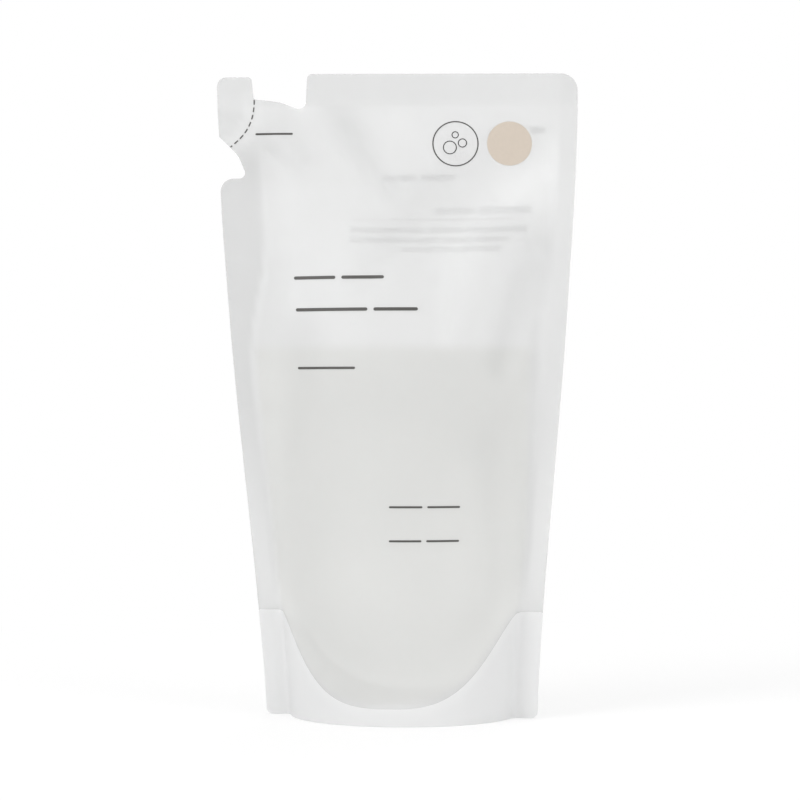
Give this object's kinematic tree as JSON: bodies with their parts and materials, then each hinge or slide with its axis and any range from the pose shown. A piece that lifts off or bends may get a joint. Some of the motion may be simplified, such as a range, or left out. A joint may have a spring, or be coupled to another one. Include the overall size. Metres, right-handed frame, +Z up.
{
  "type": "stand-up refill pouch",
  "caption": "Stand-up refill pouch of clear film with a tear-off corner spout, a bottom gusset and liquid inside.",
  "frame": {"origin": "middle of the bounding box's base, on the surface that the pouch stands on", "axes": "+Z up along the pouch, +Y from its front panel to its back panel, +X from the spout's side to the other side"},
  "size_m": [0.1099, 0.0588, 0.1953],
  "materials": {
    "film": "clear, slightly frosted packaging film",
    "gusset_film": "clear packaging film",
    "liquid": "clear liquid soap"
  },
  "bodies": {
    "root": {"front_film": "film", "back_film": "film", "bottom_gusset": "gusset_film", "soap_fill": "liquid"}
  },
  "joints": []
}
